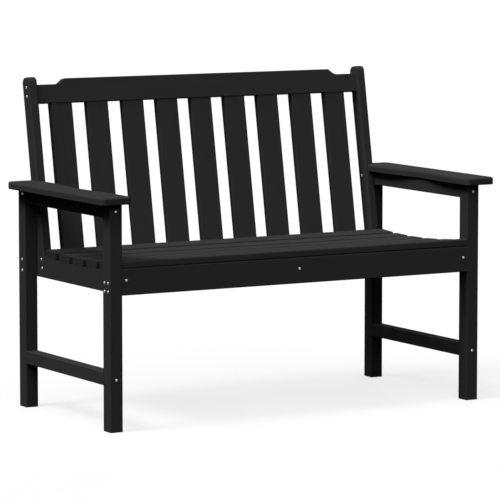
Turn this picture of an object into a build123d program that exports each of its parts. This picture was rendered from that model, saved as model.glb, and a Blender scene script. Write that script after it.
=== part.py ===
from build123d import *
from math import cos, radians, sin, sqrt, tan
import os

# A slatted garden bench of plastic lumber, in millimetres.
# Working frame: X across the bench, Y from the front legs' front faces towards the back, Z up from the floor.
# "left" is -X. Pieces of the back are drawn in a raked frame: x across, h up along the posts and d square
# to them, from the posts' front faces backwards.

# Legs and the rails between them
leg_width = 35.0                 # across the bench
leg_depth = 40.0                 # front to back
leg_height = 584.0               # floor to the underside of the armrest
width_over_legs = 1118.0
depth_over_legs = 522.0
leg_edge_radius = 1.5
foot_edge_radius = 1.0
arm_support_height = 37.0
stretcher_height = 34.0
stretcher_bottom = 118.0         # above the floor

# Armrests
armrest_thickness = 20.0
armrest_width = 89.0
armrest_side_overhang = 36.0     # beyond the legs' outer faces
armrest_front_overhang = 24.0    # beyond the front legs' front faces
armrest_rear_setback = 3.5       # inside the rear legs' rear faces
armrest_waist = 12.0             # how far the inner side draws in
waist_front_margin = 84.0        # from the armrest's front end to the start of the waist
waist_rear_margin = 112.0        # from the end of the waist to the armrest's rear end
armrest_corner_radius = 14.0     # in plan
armrest_top_radius = 6.5
armrest_bottom_radius = 2.5
armrest_post_clearance = 0.5

# Seat frame
seat_frame_bottom = 350.0        # above the floor
rail_thickness = 25.0            # side rails, centre bearer and back posts
apron_thickness = 25.0
dish_radius = 2033.0             # of the dished top edges that carry the seat slats
dish_low_setback = 246.0         # of the lowest point, from the rear legs' rear faces
dish_low_height = 50.7           # of a side rail at its lowest point
rail_edge_radius = 1.5
apron_top_radius = 4.0           # front edge, under the front slat

# Seat slats
seat_slat_thickness = 20.0
seat_slat_width = 58.0
front_slat_width = 47.0
wide_seat_slats = 5              # behind the narrow front slat
seat_rear_clearance = 10.0       # from the rear slat to the posts
seat_slat_end_clearance = 0.5    # to the legs' inner faces
seat_slat_seat_gap = 0.05        # above the dished edges
seat_slat_edge_radius = 3.0
seat_slat_nose_radius = 5.5      # front top edge of the front slat

# Back
back_height = 876.0              # floor to the top of the back posts
back_rake = 10.2                 # degrees from upright
post_depth = 40.0                # square to the post
post_floor_setback = 152.0       # of the posts' front faces at the floor, from the rear legs' rear faces
post_top_radius = 15.0
post_edge_radius = 3.5
back_rail_thickness = 22.0
back_rail_recess = 11.0          # behind the posts' front faces
top_rail_height = 65.0
top_rail_drop = 6.2              # below the post tops
shoulder_drop = 15.0             # of the rail's ends below its raised middle
crest_inset = 87.0               # from a post to the end of the raised middle
ramp_slope = 38.0                # degrees, from the raised middle down to a shoulder
ramp_cove_radius = 26.0          # where a ramp runs out into its shoulder
ramp_crest_radius = 3.0
lower_rail_height = 65.0
lower_rail_lift = 2.0            # of its lowest edge above the seat frame's bottom
back_rail_edge_radius = 1.5
back_slat_thickness = 20.0
back_slat_width = 63.0
back_slat_edge_radius = 1.0
outer_slat_inset = 73.0          # from a post to the middle of the nearest slat
outer_pitch_excess = 3.0         # the outer slats stand this much further apart than the inner ones
inner_slat_steps = 2             # on each side of the middle slat
outer_slat_steps = 2
tenon_length = 18.0
tenon_thickness = 10.0
tenon_shoulder = 6.0             # at each side of a tenon
mortise_clearance = 0.2

# Button-head screws and bolts
shank_diameter = 5.0
point_diameter = 0.8
head_diameter = 7.5
head_height = 2.2
socket_width = 2.5               # across the flats
socket_depth = 1.3
hole_clearance = 0.2             # on the diameter
counterbore_clearance = 1.0      # on the diameter
end_bite = 34.0                  # into the end of a rail
face_bite = 20.0                 # into the face of a rail
board_bite = 13.0                # into a slat or an armrest
web_under_slat = 22.0            # left between a slat and the head of its screw
web_under_armrest = 28.0
bolt_diameter = 5.0
bolt_end_gap = 1.0               # inside the sleeve nut
sleeve_diameter = 6.5
sleeve_length = 16.0

# Where the screws are
leg_screw_low = 11.0             # above the seat frame's bottom, in the front legs
leg_screw_high = 33.0
rear_screw_low = 17.0            # the same, in the rear legs
rear_screw_high = 46.5
rail_screw_inset = 6.5           # behind the apron, into the front end of a side rail
apron_screw_height = 39.0        # above the seat frame's bottom, in the apron's front face
back_rail_screw_low = 20.0       # above the lower edge of each back rail
back_rail_screw_pitch = 24.0
foot_screw_depth = 17.0          # behind the posts' front faces, at the posts' feet
top_screw_depth = 18.0           # the same, at the top rail
bearer_screw_height = 20.0       # above the lower rail's lower edge
bolt_below_armrest = 12.0
rear_support_screw_drop = 7.0    # below the front one, clear of the post bolt
armrest_screw_inset = 90.0       # from the legs, along an arm support

# Derived places
leg_outer = width_over_legs / 2
leg_inner = leg_outer - leg_width
leg_middle = leg_outer - leg_width / 2
rear_leg_front = depth_over_legs - leg_depth
rail_inner = leg_inner - rail_thickness
rail_middle = leg_inner - rail_thickness / 2
dish_low = seat_frame_bottom + dish_low_height
dish_low_point = depth_over_legs - dish_low_setback
armrest_outer = leg_outer + armrest_side_overhang
armrest_inner = armrest_outer - armrest_width
rake_sin = sin(radians(back_rake))
rake_cos = cos(radians(back_rake))
post_foot = depth_over_legs - post_floor_setback
post_top = (back_height + post_top_radius * (rake_sin + rake_cos - 1)) / rake_cos
back_rail_rear = back_rail_recess + back_rail_thickness
slat_front = back_rail_rear - back_slat_thickness
slat_middle = back_rail_rear - back_slat_thickness / 2
top_rail_top = post_top - top_rail_drop
top_rail_bottom = top_rail_top - top_rail_height
lower_rail_bottom = (seat_frame_bottom + lower_rail_lift + back_rail_rear * rake_sin) / rake_cos
lower_rail_top = lower_rail_bottom + lower_rail_height
seat_rear = post_foot + dish_low * rake_sin / rake_cos - seat_rear_clearance
seat_slat_pitch = (seat_rear - front_slat_width) / wide_seat_slats

raked = Plane(origin=(0, post_foot, 0), x_dir=(1, 0, 0), z_dir=(0, -rake_cos, rake_sin))
sides = {"left": -1, "right": 1}
pieces = {}
screws = {}


def block(x_range, y_range, z_range):
    """A plain box between three pairs of coordinates."""
    sizes = [high - low for low, high in (x_range, y_range, z_range)]
    middles = [(high + low) / 2 for low, high in (x_range, y_range, z_range)]
    return Pos(*middles) * Box(*sizes)


def board(x_range, y_range, z_range, along, radius):
    """A box whose long edges, along one axis, are rounded."""
    solid = block(x_range, y_range, z_range)
    return fillet(solid.edges().filter_by(along), radius)


def raked_block(x_range, h_range, d_range):
    """A plain box in the raked frame of the back."""
    return raked * block(x_range, h_range, (-d_range[1], -d_range[0]))


def raked_point(x, h, d):
    """A point of the raked frame in the working frame."""
    return (x, post_foot + h * rake_sin + d * rake_cos, h * rake_cos - d * rake_sin)


def handed(solid, side):
    """The right-hand piece as it is, or mirrored for the left."""
    return solid if side > 0 else mirror(solid, about=Plane.YZ)


def dish_height(y):
    """Height of the dished edge that the seat slats lie on."""
    return dish_low + dish_radius - sqrt(dish_radius**2 - (y - dish_low_point) ** 2)


# Leg frames: two legs, an arm support and a stretcher on each side
def leg(x_range, front):
    """A square leg from the floor up, with its foot eased all round."""
    solid = board(x_range, (front, front + leg_depth), (0, leg_height), Axis.Z, leg_edge_radius)
    return fillet(solid.faces().sort_by(Axis.Z)[0].edges(), foot_edge_radius)


for word, side in sides.items():
    leg_x = sorted((side * leg_inner, side * leg_outer))
    between_legs = (leg_depth, rear_leg_front)
    stretcher_z = (stretcher_bottom, stretcher_bottom + stretcher_height)
    support_z = (leg_height - arm_support_height, leg_height)
    pieces[f"front_leg_{word}"] = leg(leg_x, 0)
    pieces[f"rear_leg_{word}"] = leg(leg_x, rear_leg_front)
    pieces[f"arm_support_{word}"] = board(leg_x, between_legs, support_z, Axis.Y, leg_edge_radius)
    pieces[f"side_stretcher_{word}"] = board(leg_x, between_legs, stretcher_z, Axis.Y, leg_edge_radius)


# Seat frame: side rails inside the legs, lapped with the feet of the back posts
def seat_member(front, rear):
    """A seat rail with a dished top, as a face in the YZ plane between two distances from the front."""
    front_top = (front, dish_height(front))
    rear_top = (rear, dish_height(rear))
    middle = (front + rear) / 2
    edge = ThreePointArc(rear_top, (middle, dish_height(middle)), front_top)
    frame = Polyline(front_top, (front, seat_frame_bottom), (rear, seat_frame_bottom), rear_top)
    return Plane.YZ * make_face([frame, edge])


def right_post():
    """The right-hand back post: rounded at the top, level at the foot, lapped on its outer side."""
    foot_below = seat_frame_bottom / rake_cos - post_depth
    outline = Rectangle(post_depth, post_top - foot_below)
    outline = fillet(outline.vertices().group_by(Axis.Y)[-1], post_top_radius)
    outline = Pos(post_depth / 2, (post_top + foot_below) / 2) * outline
    leaning = Plane(origin=(rail_inner, post_foot, 0), x_dir=(0, rake_cos, -rake_sin), z_dir=(1, 0, 0))
    solid = leaning * extrude(outline, rail_thickness)
    solid = fillet(solid.faces().filter_by(Axis.X).edges(), post_edge_radius)
    below = block((0, leg_outer), (0, depth_over_legs), (0, seat_frame_bottom))
    lap = extrude(seat_member(apron_thickness, depth_over_legs), rail_thickness / 2)
    return solid - below - Pos(rail_middle, 0, 0) * lap


def right_side_rail():
    """The right-hand seat rail, from the apron to the rear leg, halved where the post laps it."""
    solid = Pos(rail_inner, 0, 0) * extrude(seat_member(apron_thickness, depth_over_legs), rail_thickness)
    solid = fillet(solid.edges().filter_by(Axis.Y).group_by(Axis.Z)[0], rail_edge_radius)
    return solid - raked_block((rail_inner, rail_middle), (0, post_top), (0, post_depth))


def front_apron():
    """The apron between the front legs, bevelled on top to the dish."""
    solid = extrude(seat_member(0, apron_thickness), leg_inner, both=True)
    solid = fillet(solid.edges().filter_by(Axis.X).group_by(Axis.Z)[0], rail_edge_radius)
    return fillet(solid.edges().filter_by(Axis.X).group_by(Axis.Z)[-1], apron_top_radius)


def centre_bearer():
    """The bearer under the middle of the seat, from the apron to the lower back rail."""
    solid = extrude(seat_member(apron_thickness, depth_over_legs), rail_thickness / 2, both=True)
    return solid - raked_block((-rail_thickness, rail_thickness), (0, post_top), (back_rail_recess, post_top))


for word, side in sides.items():
    pieces[f"back_post_{word}"] = handed(right_post(), side)
    pieces[f"seat_side_rail_{word}"] = handed(right_side_rail(), side)
pieces["front_apron"] = front_apron()
pieces["centre_seat_bearer"] = centre_bearer()


# Armrests: waisted boards, notched round the posts
def right_armrest():
    """The right-hand armrest, rounded above and below, with a raked notch for the post."""
    front = -armrest_front_overhang
    rear = depth_over_legs - armrest_rear_setback
    waist_front = front + waist_front_margin
    waist_rear = rear - waist_rear_margin
    waist_middle = (armrest_inner + armrest_waist, (waist_front + waist_rear) / 2)
    straight = (0, 1)
    inner_side = Spline((armrest_inner, waist_front), waist_middle, (armrest_inner, waist_rear),
                        tangents=(straight, straight))
    rest = Polyline((armrest_inner, waist_rear), (armrest_inner, rear), (armrest_outer, rear),
                    (armrest_outer, front), (armrest_inner, front), (armrest_inner, waist_front))
    plan = make_face([inner_side, rest])
    corners = plan.vertices().group_by(Axis.Y)
    plan = fillet(corners[0] + corners[-1], armrest_corner_radius)
    solid = Pos(0, 0, leg_height) * extrude(plan, armrest_thickness)
    solid = fillet(solid.faces().sort_by(Axis.Z)[-1].edges(), armrest_top_radius)
    solid = fillet(solid.faces().sort_by(Axis.Z)[0].edges(), armrest_bottom_radius)
    notch_x = (0, leg_inner + armrest_post_clearance)
    return solid - raked_block(notch_x, (0, post_top), (-armrest_post_clearance, post_top))


for word, side in sides.items():
    pieces[f"armrest_{word}"] = handed(right_armrest(), side)


# Seat slats, each lying on the dish by the two ends of its flat underside
def seat_slat(front, width, nose_radius, plumb_front=False):
    """A slat across the bench, tilted to the chord of the dish below it, with a square or a plumb front."""
    half_length = leg_inner - seat_slat_end_clearance
    flat_front = front + seat_slat_edge_radius
    flat_rear = front + width - seat_slat_edge_radius
    run = flat_rear - flat_front
    rise = dish_height(flat_rear) - dish_height(flat_front)
    rear = width - seat_slat_edge_radius
    top_front = seat_slat_thickness * rise / run if plumb_front else 0
    section = Polyline((-seat_slat_edge_radius, 0), (rear, 0), (rear, seat_slat_thickness),
                       (top_front - seat_slat_edge_radius, seat_slat_thickness), close=True)
    solid = extrude(Plane.YZ * make_face(section), half_length, both=True)
    top_edges = solid.edges().filter_by(Axis.X).group_by(Axis.Z)[-1].sort_by(Axis.Y)
    bottom_edges = solid.edges().filter_by(Axis.X).group_by(Axis.Z)[0]
    solid = fillet(bottom_edges + top_edges[1:], seat_slat_edge_radius)
    nose = solid.edges().filter_by(Axis.X).group_by(Axis.Z)[-1].sort_by(Axis.Y)[0]
    solid = fillet(nose, nose_radius)
    underside = dish_height(flat_front) + seat_slat_seat_gap
    return Plane(origin=(0, flat_front, underside), x_dir=(1, 0, 0), z_dir=(0, -rise, run)) * solid


wide_slat_fronts = [front_slat_width + (i + 1) * seat_slat_pitch - seat_slat_width
                    for i in range(wide_seat_slats)]
pieces["seat_slat_1"] = seat_slat(0, front_slat_width, seat_slat_nose_radius, plumb_front=True)
for number, front in enumerate(wide_slat_fronts, start=2):
    pieces[f"seat_slat_{number}"] = seat_slat(front, seat_slat_width, seat_slat_edge_radius)


# Back: a shaped top rail and a lower rail between the posts, with the slats tenoned into both
def top_rail():
    """The top rail: a raised middle that falls in coved ramps to a shoulder at each post."""
    crest = rail_inner - crest_inset
    foot = crest + shoulder_drop / tan(radians(ramp_slope))
    shoulder = top_rail_top - shoulder_drop
    right = [(crest, top_rail_top), (foot, shoulder), (rail_inner, shoulder), (rail_inner, top_rail_bottom)]
    left = [(-x, h) for x, h in reversed(right)]
    outline = make_face(Polyline(*right, *left, close=True))
    levels = outline.vertices().group_by(Axis.Y)
    outline = fillet(levels[1].sort_by(Axis.X)[1:-1], ramp_cove_radius)
    outline = fillet(outline.vertices().group_by(Axis.Y)[-1], ramp_crest_radius)
    solid = Pos(0, 0, -back_rail_rear) * extrude(outline, back_rail_thickness)
    edges = solid.faces().filter_by(Axis.Z).edges()
    return raked * fillet(edges - edges.filter_by(Axis.Y), back_rail_edge_radius)


def lower_rail():
    """The lower rail, square to the posts, with rounded long edges."""
    body = board((-rail_inner, rail_inner), (lower_rail_bottom, lower_rail_top),
                 (-back_rail_rear, -back_rail_recess), Axis.X, back_rail_edge_radius)
    return raked * body


def slat_middles():
    """Places across the bench of the back slats, from left to right."""
    span = rail_inner - outer_slat_inset
    inner_pitch = (span - outer_slat_steps * outer_pitch_excess) / (inner_slat_steps + outer_slat_steps)
    inner = [step * inner_pitch for step in range(1, inner_slat_steps + 1)]
    outer = [span - step * (inner_pitch + outer_pitch_excess) for step in reversed(range(outer_slat_steps))]
    right = inner + outer
    return [-x for x in reversed(right)] + [0] + right


def tenons(middle, clearance):
    """The tenons of one back slat, or with a clearance the mortises that they sit in."""
    half_width = back_slat_width / 2 - tenon_shoulder + clearance
    half_thickness = tenon_thickness / 2 + clearance
    x_range = (middle - half_width, middle + half_width)
    d_range = (slat_middle - half_thickness, slat_middle + half_thickness)
    lower = (lower_rail_top - tenon_length - clearance, lower_rail_top)
    upper = (top_rail_bottom, top_rail_bottom + tenon_length + clearance)
    return [raked_block(x_range, h_range, d_range) for h_range in (lower, upper)]


def back_slat(middle):
    """A back slat between the two rails, with its tenons."""
    x_range = (middle - back_slat_width / 2, middle + back_slat_width / 2)
    body = board(x_range, (lower_rail_top, top_rail_bottom), (-back_rail_rear, -slat_front), Axis.Y,
                 back_slat_edge_radius)
    return raked * body + tenons(middle, 0)


pieces["top_back_rail"] = top_rail()
pieces["lower_back_rail"] = lower_rail()
for number, middle in enumerate(slat_middles(), start=1):
    pieces[f"back_slat_{number}"] = back_slat(middle)
    lower_mortise, upper_mortise = tenons(middle, mortise_clearance)
    pieces["lower_back_rail"] = pieces["lower_back_rail"] - lower_mortise
    pieces["top_back_rail"] = pieces["top_back_rail"] - upper_mortise


# Fasteners: each is placed by the middle of its head's seat and the way that the head faces
def button_head():
    """A low dome with a hexagon socket, seated at z = 0."""
    dome_radius = ((head_diameter / 2) ** 2 + head_height**2) / (2 * head_height)
    dome = Pos(0, 0, head_height - dome_radius) * Sphere(dome_radius)
    head = dome & Pos(0, 0, head_height / 2) * Cylinder(head_diameter / 2, head_height)
    hexagon = RegularPolygon(socket_width / 2, 6, major_radius=False)
    return head - Pos(0, 0, head_height - socket_depth) * extrude(hexagon, socket_depth)


def rod(diameter, low, high):
    """A round bar along Z."""
    return Pos(0, 0, (low + high) / 2) * Cylinder(diameter / 2, high - low)


def screw(length):
    """A pointed screw with its head's seat at z = 0."""
    taper = (shank_diameter - point_diameter) / 2
    point = Pos(0, 0, taper / 2 - length) * Cone(point_diameter / 2, shank_diameter / 2, taper)
    return button_head() + rod(shank_diameter, taper - length, 0) + point


def drive(group, seat, facing, length, through, sunk=0.0):
    """Drive one screw into the named pieces, with its head on the surface or sunk in a counterbore."""
    place = Plane(origin=seat, z_dir=facing)
    screws.setdefault(group, []).append(place * screw(length))
    hole = rod(shank_diameter + hole_clearance, -length - hole_clearance, hole_clearance)
    if sunk:
        hole += rod(head_diameter + counterbore_clearance, 0, sunk + hole_clearance)
    for name in through:
        pieces[name] = pieces[name] - place * hole


def bolt_post(side, rear_leg, post):
    """Bolt a post to its rear leg, with a sleeve nut from the inside, where the two boards overlap."""
    height = leg_height - bolt_below_armrest
    post_front = post_foot + height * rake_sin / rake_cos
    overlap_front = max(rear_leg_front, post_front)
    overlap_rear = min(depth_over_legs, post_front + post_depth / rake_cos)
    middle = (overlap_front + overlap_rear) / 2
    grip = leg_width + rail_thickness
    bolt_frame = Plane(origin=(side * leg_outer, middle, height), z_dir=(side, 0, 0))
    nut_frame = Plane(origin=(side * rail_inner, middle, height), z_dir=(-side, 0, 0))
    bolt = button_head() + rod(bolt_diameter, bolt_end_gap - grip, 0)
    bore = rod(bolt_diameter + hole_clearance, -grip, hole_clearance)
    nut = button_head() + (rod(sleeve_diameter, -sleeve_length, 0) - bore)
    nut_bore = rod(sleeve_diameter + hole_clearance, -sleeve_length - hole_clearance, hole_clearance)
    screws.setdefault("post_bolts", []).append(bolt_frame * bolt)
    screws.setdefault("post_bolt_nuts", []).append(nut_frame * nut)
    pieces[rear_leg] = pieces[rear_leg] - bolt_frame * bore
    pieces[post] = pieces[post] - bolt_frame * bore - nut_frame * nut_bore


forward = (0, -1, 0)
rearward = (0, 1, 0)
down = (0, 0, -1)
for word, side in sides.items():
    outward = (side, 0, 0)
    front_leg = f"front_leg_{word}"
    rear_leg = f"rear_leg_{word}"
    side_rail = f"seat_side_rail_{word}"
    post = f"back_post_{word}"
    support = f"arm_support_{word}"
    stretcher = f"side_stretcher_{word}"

    # Arm support and stretcher, through the legs into their ends
    support_height = leg_height - arm_support_height / 2
    stretcher_middle = stretcher_bottom + stretcher_height / 2
    long_screw = leg_depth + end_bite
    front_support = (side * leg_middle, 0, support_height)
    rear_support = (side * leg_middle, depth_over_legs, support_height - rear_support_screw_drop)
    front_stretcher = (side * leg_middle, 0, stretcher_middle)
    rear_stretcher = (side * leg_middle, depth_over_legs, stretcher_middle)
    drive("arm_support_screws", front_support, forward, long_screw, (front_leg, support))
    drive("arm_support_screws", rear_support, rearward, long_screw, (rear_leg, support))
    drive("stretcher_screws", front_stretcher, forward, long_screw, (front_leg, stretcher))
    drive("stretcher_screws", rear_stretcher, rearward, long_screw, (rear_leg, stretcher))

    # Seat frame, through the legs and the apron
    short_screw = leg_width + face_bite
    for rise in (leg_screw_low, leg_screw_high):
        height = seat_frame_bottom + rise
        apron_end = (side * leg_outer, apron_thickness / 2, height)
        rail_front = (side * leg_outer, apron_thickness + rail_screw_inset, height)
        drive("apron_leg_screws", apron_end, outward, short_screw, (front_leg, "front_apron"))
        drive("side_rail_screws", rail_front, outward, short_screw, (front_leg, side_rail))
    for rise in (rear_screw_low, rear_screw_high):
        rail_rear = (side * leg_outer, depth_over_legs - leg_depth / 2, seat_frame_bottom + rise)
        drive("side_rail_screws", rail_rear, outward, short_screw, (rear_leg, side_rail))
    rail_end = (side * rail_middle, 0, seat_frame_bottom + apron_screw_height)
    drive("apron_screws", rail_end, forward, apron_thickness + end_bite, ("front_apron", side_rail))

    # Back rails, through the posts; at the feet the screws pass both halves of the lap
    for step in (0, back_rail_screw_pitch):
        foot_h = lower_rail_bottom + back_rail_screw_low + step
        foot_seat = raked_point(side * leg_inner, foot_h, foot_screw_depth)
        top_h = top_rail_bottom + back_rail_screw_low + step
        top_seat = raked_point(side * leg_inner, top_h, top_screw_depth)
        rail_screw = rail_thickness + end_bite
        drive("post_foot_screws", foot_seat, outward, rail_screw, (side_rail, post, "lower_back_rail"))
        drive("top_rail_screws", top_seat, outward, rail_screw, (post, "top_back_rail"))

    # Armrest, from below through its support
    for place in (leg_depth + armrest_screw_inset, rear_leg_front - armrest_screw_inset):
        seat = (side * leg_middle, place, leg_height - web_under_armrest)
        drive("armrest_screws", seat, down, web_under_armrest + board_bite, (support, f"armrest_{word}"),
              sunk=arm_support_height - web_under_armrest)
    bolt_post(side, rear_leg, post)

# Centre bearer, through the apron and the lower back rail
bearer_front = (0, 0, seat_frame_bottom + apron_screw_height)
bearer_rear = raked_point(0, lower_rail_bottom + bearer_screw_height, back_rail_rear)
drive("apron_screws", bearer_front, forward, apron_thickness + end_bite,
      ("front_apron", "centre_seat_bearer"))
drive("bearer_screw", bearer_rear, (0, rake_cos, -rake_sin), back_rail_thickness + face_bite,
      ("lower_back_rail", "centre_seat_bearer"))


# Seat slats, from below: the front one through the apron, the others through the side rails and the bearer
def drive_slat(group, carrier, number, x, y):
    """Drive one screw up through a carrier into a seat slat, with its head deep in a counterbore."""
    head_seat = dish_height(y) - web_under_slat
    drive(group, (x, y, head_seat), down, web_under_slat + board_bite, (carrier, f"seat_slat_{number}"),
          sunk=head_seat - seat_frame_bottom)


for quarter in (-3, -1, 1, 3):
    drive_slat("front_slat_screws", "front_apron", 1, quarter * leg_inner / 4, apron_thickness / 2)
for number, front in enumerate(wide_slat_fronts, start=2):
    middle = front + seat_slat_width / 2
    drive_slat("seat_slat_screws", "centre_seat_bearer", number, 0, middle)
    for word, side in sides.items():
        drive_slat("seat_slat_screws", f"seat_side_rail_{word}", number, side * rail_middle, middle)

# The origin is on the floor under the middle of the bench's plan
boxes = [solid.bounding_box() for solid in pieces.values()]
plan_front = min(box.min.Y for box in boxes)
plan_rear = max(box.max.Y for box in boxes)
to_origin = Pos(0, -(plan_front + plan_rear) / 2, 0)
os.makedirs("parts", exist_ok=True)
for name, solid in pieces.items():
    export_step(to_origin * solid, f"parts/{name}.step")
for name, group in screws.items():
    export_step(Compound(children=[to_origin * item for item in group]), f"parts/{name}.step")
print(f"{len(pieces)} boards, {sum(len(group) for group in screws.values())} fasteners")
print(f"plan from {plan_front:.2f} to {plan_rear:.2f}, height {max(box.max.Z for box in boxes):.2f}")
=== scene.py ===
import math

import bmesh
import bpy
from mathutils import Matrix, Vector

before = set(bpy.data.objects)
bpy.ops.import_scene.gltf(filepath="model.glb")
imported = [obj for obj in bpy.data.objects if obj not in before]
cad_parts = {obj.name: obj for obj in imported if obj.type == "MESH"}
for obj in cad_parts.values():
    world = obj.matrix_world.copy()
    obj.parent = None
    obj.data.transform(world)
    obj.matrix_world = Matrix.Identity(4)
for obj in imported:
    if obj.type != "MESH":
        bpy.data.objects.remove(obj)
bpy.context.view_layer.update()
scene = bpy.context.scene
mmPerMetre = 1000
print("frame:", len(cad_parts), "pieces loaded")


def linear(hexColour):
    # an sRGB hex value as the linear colour that a socket takes
    parts = [int(hexColour[i:i + 2], 16) / 255 for i in (1, 3, 5)]
    return [c / 12.92 if c <= 0.04045 else ((c + 0.055) / 1.055) ** 2.4 for c in parts] + [1.0]


def addNode(tree, kind, links=None, values=None, **settings):
    # links: input socket -> output socket; values: input socket -> number or colour
    # a socket goes by its name, or by its number where the name repeats
    node = tree.nodes.new(kind)
    for name, value in settings.items():
        setattr(node, name, value)
    for name, value in (values or {}).items():
        node.inputs[name].default_value = value
    for name, source in (links or {}).items():
        tree.links.new(source, node.inputs[name])
    return node


def mixColours(tree, factor, first, second):
    # first and second: a hex value or an output socket, for the Mix node's colour inputs 6 and 7
    links = {"Factor": factor}
    values = {}
    for socket, colour in ((6, first), (7, second)):
        if isinstance(colour, str):
            values[socket] = linear(colour)
        else:
            links[socket] = colour
    return addNode(tree, "ShaderNodeMix", links, values, data_type="RGBA").outputs[2]


def stretch(tree, value, reach=(0.0, 1.0), to=(0.0, 1.0)):
    # what lies within the reach, stretched to other limits and held there
    limits = {"From Min": reach[0], "From Max": reach[1], "To Min": to[0], "To Max": to[1]}
    return addNode(tree, "ShaderNodeMapRange", {"Value": value}, limits).outputs["Result"]


def seenRay(tree):
    # 1 for what the camera sees, straight, mirrored or through glass, and 0 for light on the bench
    path = addNode(tree, "ShaderNodeLightPath")
    mirrored = addNode(tree, "ShaderNodeMath",
                       {0: path.outputs["Is Camera Ray"], 1: path.outputs["Is Glossy Ray"]},
                       operation="ADD")
    seen = addNode(tree, "ShaderNodeMath",
                   {0: mirrored.outputs[0], 1: path.outputs["Is Transmission Ray"]},
                   operation="ADD", use_clamp=True)
    return seen.outputs[0]


def newMaterial(name):
    material = bpy.data.materials.new(name)
    material.use_nodes = True
    material.node_tree.nodes.clear()
    return material, material.node_tree


# HDPE lumber, extruded: carbon-black boards with a dry, matt skin. The die leaves faint streaks along
# the board, the skin is slightly cloudy, and the sawn ends are a little darker and show small pores.
lumber = {
    "skin": "#3c3c3c",
    "streak": "#3a3a3a",
    "sawnEnd": "#383838",
    "pore": "#2c2c2c",
    "roughness": (0.86, 0.98),
    "ior": 1.54,
    "specular": 0.0005,           # far below real HDPE, so that the boards look as matt as in the photograph
    # sizes in mm along, across and through a board
    "streaks": {"size": (420, 9, 9), "detail": 3.0, "roughness": 0.6},
    "clouds": {"size": (260, 90, 90), "detail": 2.0, "roughness": 0.5},
    "grit": {"size": (2.5, 2.5, 2.5), "detail": 2.0, "roughness": 0.5},  # real 0.3 mm is too fine to show
    "pores": {"size": (3.0, 3.0, 3.0), "detail": 1.0, "roughness": 0.5},
    "noiseReach": (0.3, 0.7),     # most of a noise's values
    "poreReach": (0.36, 0.44),    # from a pore to the solid round it
    "sawnReach": (0.9, 0.98),     # how squarely a sawn end faces along its board
    "streakDepth": 0.10,          # mm
    "gritDepth": 0.05,            # mm
    "lean": 10.2,                 # degrees, of the back's boards
}

# How a board's length lies, as the turn in degrees that brings X to it
grainTurns = {
    "across": (0, 0, 0),
    "deep": (0, 0, 90),
    "upright": (0, -90, 0),
    "leaning": (0, lumber["lean"] - 90, 90),
}


def lumberMaterial(lie, turn):
    material, tree = newMaterial("hdpeLumberExtruded_" + lie)
    turn = [math.radians(a) for a in turn]
    place = addNode(tree, "ShaderNodeTexCoord")

    def pattern(settings):
        scale = [s / mmPerMetre for s in settings["size"]]
        mapping = addNode(tree, "ShaderNodeMapping", {"Vector": place.outputs["Object"]},
                          {"Rotation": turn, "Scale": scale}, vector_type="TEXTURE")
        noise = addNode(tree, "ShaderNodeTexNoise", {"Vector": mapping.outputs["Vector"]},
                        {"Scale": 1.0, "Detail": settings["detail"], "Roughness": settings["roughness"]})
        return noise.outputs["Fac"]

    streaks = pattern(lumber["streaks"])
    clouds = pattern(lumber["clouds"])
    grit = pattern(lumber["grit"])
    pores = pattern(lumber["pores"])

    # sawn ends face along the board
    lengthwise = addNode(tree, "ShaderNodeMapping", {"Vector": place.outputs["Normal"]},
                         {"Rotation": turn}, vector_type="TEXTURE")
    faces = addNode(tree, "ShaderNodeSeparateXYZ", {"Vector": lengthwise.outputs["Vector"]})
    facing = addNode(tree, "ShaderNodeMath", {0: faces.outputs["X"]}, operation="ABSOLUTE")
    sawn = stretch(tree, facing.outputs["Value"], lumber["sawnReach"])

    streakTone = stretch(tree, streaks, lumber["noiseReach"])
    skin = mixColours(tree, streakTone, lumber["streak"], lumber["skin"])
    poreTone = stretch(tree, pores, lumber["poreReach"])
    ends = mixColours(tree, poreTone, lumber["pore"], lumber["sawnEnd"])
    board = mixColours(tree, sawn, skin, ends)
    sheen = stretch(tree, clouds, lumber["noiseReach"], lumber["roughness"])

    streakBump = addNode(tree, "ShaderNodeBump", {"Height": streaks},
                         {"Distance": lumber["streakDepth"] / mmPerMetre})
    gritBump = addNode(tree, "ShaderNodeBump", {"Height": grit, "Normal": streakBump.outputs["Normal"]},
                       {"Distance": lumber["gritDepth"] / mmPerMetre})
    shader = addNode(tree, "ShaderNodeBsdfPrincipled",
                     {"Base Color": board, "Roughness": sheen, "Normal": gritBump.outputs["Normal"]},
                     {"IOR": lumber["ior"], "Specular IOR Level": lumber["specular"]})
    addNode(tree, "ShaderNodeOutputMaterial", {"Surface": shader.outputs["BSDF"]})
    return material


# Stainless steel, cold-headed and tumbled: bright, slightly grainy heads with soft reflections
steel = {
    "metal": "#a6a5a2",
    "dull": "#878683",
    "roughness": (0.22, 0.36),
    "tumbleSize": 1.2,            # mm; the real marks are finer, drawn coarser so that they show
    "tumbleDetail": 2.0,
    "tumbleDepth": 0.02,          # mm
}


def steelMaterial():
    material, tree = newMaterial("stainlessSteelTumbled")
    place = addNode(tree, "ShaderNodeTexCoord")
    noise = addNode(tree, "ShaderNodeTexNoise", {"Vector": place.outputs["Object"]},
                    {"Scale": mmPerMetre / steel["tumbleSize"], "Detail": steel["tumbleDetail"]})
    marks = noise.outputs["Fac"]
    tone = mixColours(tree, marks, steel["dull"], steel["metal"])
    gloss = stretch(tree, marks, to=steel["roughness"])
    bump = addNode(tree, "ShaderNodeBump", {"Height": marks},
                   {"Distance": steel["tumbleDepth"] / mmPerMetre})
    shader = addNode(tree, "ShaderNodeBsdfPrincipled",
                     {"Base Color": tone, "Roughness": gloss, "Normal": bump.outputs["Normal"]},
                     {"Metallic": 1.0})
    addNode(tree, "ShaderNodeOutputMaterial", {"Surface": shader.outputs["BSDF"]})
    return material


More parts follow.
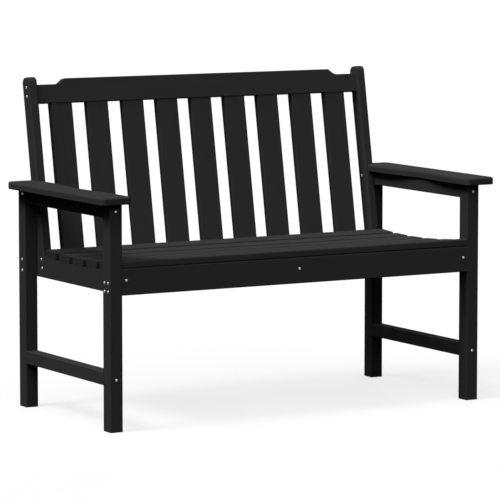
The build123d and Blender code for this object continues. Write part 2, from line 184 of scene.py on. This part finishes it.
# Which way each board's length lies, by the start of its name; fasteners go by their endings
boardStarts = {
    "across": ("seat_slat", "front_apron", "top_back_rail", "lower_back_rail"),
    "deep": ("arm_support", "side_stretcher", "seat_side_rail", "centre_seat_bearer", "armrest"),
    "upright": ("front_leg", "rear_leg"),
    "leaning": ("back_post", "back_slat"),
}
fastenerEndings = ("_screws", "_screw", "_bolts", "_nuts")

lumberMaterials = {lie: lumberMaterial(lie, turn) for lie, turn in grainTurns.items()}
steelFinish = steelMaterial()
for name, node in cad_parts.items():
    if name.endswith(fastenerEndings):
        finish = steelFinish
    else:
        boardLie = next(lie for lie, starts in boardStarts.items() if name.startswith(starts))
        finish = lumberMaterials[boardLie]
    for slot in node.material_slots:
        slot.material = finish
print("materials:", len(lumberMaterials), "lies of lumber and the steel")


# Floor: a plain pale sheet, white to the eye and to reflections, that keeps a soft shadow
floorSettings = {
    "size": 120.0,                # m
    "pale": "#fefefe",
    "glow": "#ffffff",
    "glowStrength": 1.0,
    "bounce": "#282828",          # what it throws back at the bench, kept low as on a cut-out studio sweep
    "shadowShare": 0.25,          # how much of the floor's white comes from the lamps and can be shaded
}


def makeFloor():
    bm = bmesh.new()
    bmesh.ops.create_grid(bm, x_segments=1, y_segments=1, size=floorSettings["size"] / 2)
    mesh = bpy.data.meshes.new("floor")
    bm.to_mesh(mesh)
    bm.free()
    floor = bpy.data.objects.new("floor", mesh)
    scene.collection.objects.link(floor)

    material, tree = newMaterial("paintedFloorMatt")
    seen = seenRay(tree)
    bounce = addNode(tree, "ShaderNodeBsdfDiffuse", values={"Color": linear(floorSettings["bounce"])})
    paint = addNode(tree, "ShaderNodeBsdfDiffuse", values={"Color": linear(floorSettings["pale"])})
    glow = addNode(tree, "ShaderNodeEmission", values={"Color": linear(floorSettings["glow"]),
                                                       "Strength": floorSettings["glowStrength"]})
    white = addNode(tree, "ShaderNodeMixShader", {1: glow.outputs[0], 2: paint.outputs[0]},
                    {"Fac": floorSettings["shadowShare"]})
    surface = addNode(tree, "ShaderNodeMixShader", {"Fac": seen, 1: bounce.outputs[0], 2: white.outputs[0]})
    addNode(tree, "ShaderNodeOutputMaterial", {"Surface": surface.outputs[0]})
    mesh.materials.append(material)


makeFloor()
print("floor: laid")


# Light: a key lamp high on the left, wide softer ones overhead and in front,
# and one behind for the far side
lighting = {
    "white": "#ffffff",
    "backdrop": 1.0,              # what the camera sees behind the bench
    "dome": 0.03,                 # what the room itself gives
    # azimuth: degrees round the bench, 0 is straight in front; elevation: degrees above the floor;
    # strength: watts a square metre; spread: degrees across
    "lamps": {
        "left": {"azimuth": -90, "elevation": 54, "strength": 1.98, "spread": 22},
        "top": {"azimuth": -60, "elevation": 72, "strength": 0.72, "spread": 40},
        "front": {"azimuth": -22, "elevation": 42, "strength": 0.98, "spread": 56},
        "behind": {"azimuth": 140, "elevation": 15, "strength": 1.3, "spread": 30},
    },
}


def fromDirection(azimuth, elevation):
    a, e = math.radians(azimuth), math.radians(elevation)
    return Vector((math.sin(a) * math.cos(e), -math.cos(a) * math.cos(e), math.sin(e)))


def makeLight():
    world = bpy.data.worlds.new("studio")
    world.use_nodes = True
    scene.world = world
    tree = world.node_tree
    tree.nodes.clear()
    seen = seenRay(tree)
    colour = linear(lighting["white"])
    dome = addNode(tree, "ShaderNodeBackground", values={"Color": colour, "Strength": lighting["dome"]})
    white = addNode(tree, "ShaderNodeBackground",
                    values={"Color": colour, "Strength": lighting["backdrop"]})
    mix = addNode(tree, "ShaderNodeMixShader", {"Fac": seen, 1: dome.outputs[0], 2: white.outputs[0]})
    addNode(tree, "ShaderNodeOutputWorld", {"Surface": mix.outputs[0]})
    for name, settings in lighting["lamps"].items():
        lamp = bpy.data.lights.new("lamp_" + name, "SUN")
        lamp.energy = settings["strength"]
        lamp.angle = math.radians(settings["spread"])
        obj = bpy.data.objects.new("lamp_" + name, lamp)
        towards = fromDirection(settings["azimuth"], settings["elevation"])
        obj.rotation_euler = towards.to_track_quat("Z", "Y").to_euler()
        scene.collection.objects.link(obj)


makeLight()
print("light: dome and", len(lighting["lamps"]), "lamps")


# Camera: a long lens at the photograph's viewing angle
cameraSettings = {
    "azimuth": -30.022,           # degrees round the bench, 0 is straight in front
    "elevation": 6.387,           # degrees above the floor
    "distance": 9.2282,           # m, from the target
    "target": (0.0058, -0.0002, 0.4112),
    "lens": 248.117,              # mm
    "sensor": 36,                 # mm
    "farthest": 500,              # m, past the floor's edge
}


def makeCamera():
    data = bpy.data.cameras.new("camera")
    data.lens = cameraSettings["lens"]
    data.sensor_width = cameraSettings["sensor"]
    data.clip_end = cameraSettings["farthest"]
    camera = bpy.data.objects.new("camera", data)
    back = fromDirection(cameraSettings["azimuth"], cameraSettings["elevation"])
    camera.location = Vector(cameraSettings["target"]) + back * cameraSettings["distance"]
    camera.rotation_euler = (-back).to_track_quat("-Z", "Y").to_euler()
    scene.collection.objects.link(camera)
    scene.camera = camera


makeCamera()
scene.view_settings.view_transform = "Standard"
print("camera: set")
